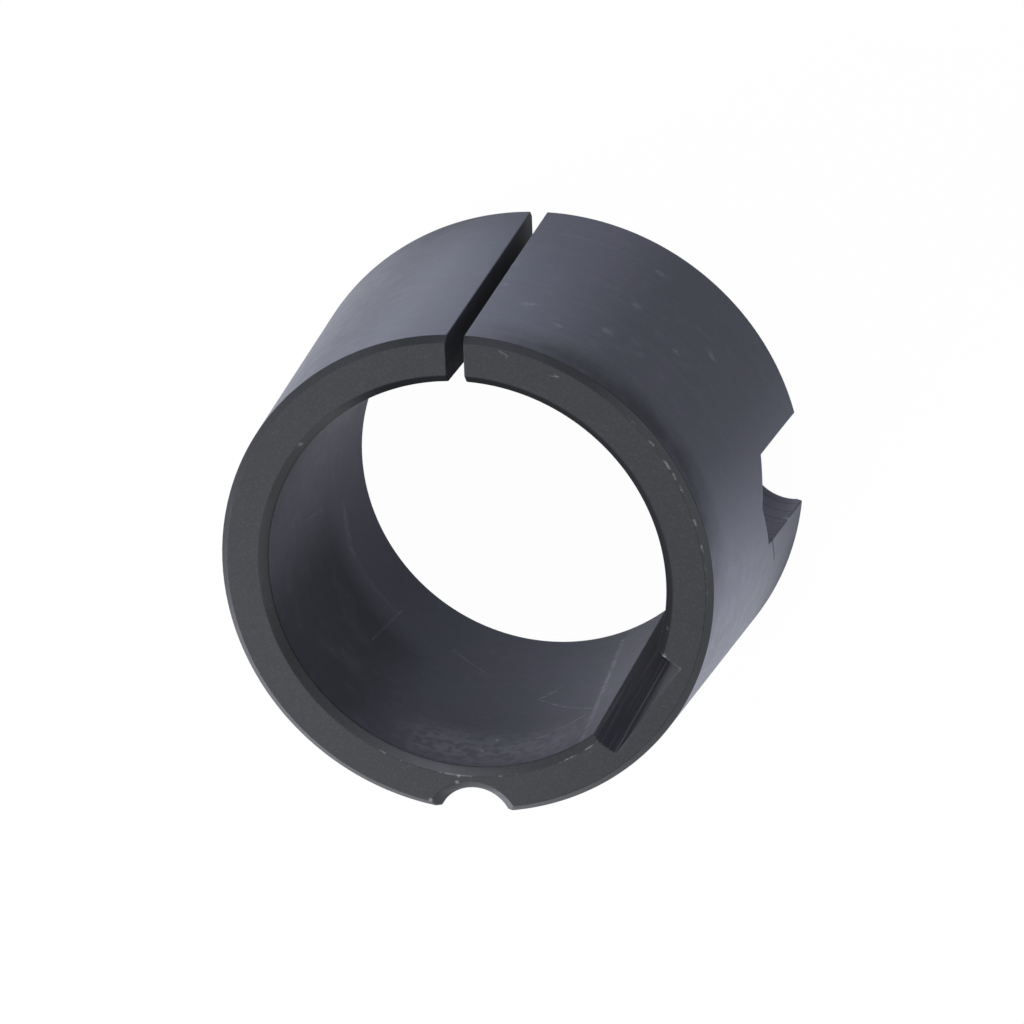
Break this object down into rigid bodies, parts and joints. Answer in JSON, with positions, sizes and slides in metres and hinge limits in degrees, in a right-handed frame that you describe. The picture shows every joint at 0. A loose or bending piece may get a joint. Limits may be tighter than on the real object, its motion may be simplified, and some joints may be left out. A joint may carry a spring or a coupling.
{
  "type": "split taper bushing",
  "caption": "Split taper bushing: a straight bore with a keyway inside a tapered wall, slit along one side, with half-round screw holes in its outside.",
  "frame": {"origin": "centre of the large end face, on the bore axis", "axes": "+Z along the bore axis from the large end to the small end; +X through the middle of the keyway; angles turn from +X towards +Y"},
  "size_m": [0.057, 0.057, 0.0381],
  "materials": {
    "blackened_iron": "black phosphate on turned iron, satin taper and bore, matt end faces"
  },
  "bodies": {
    "root": {"taper_bushing": "blackened_iron"}
  },
  "joints": []
}
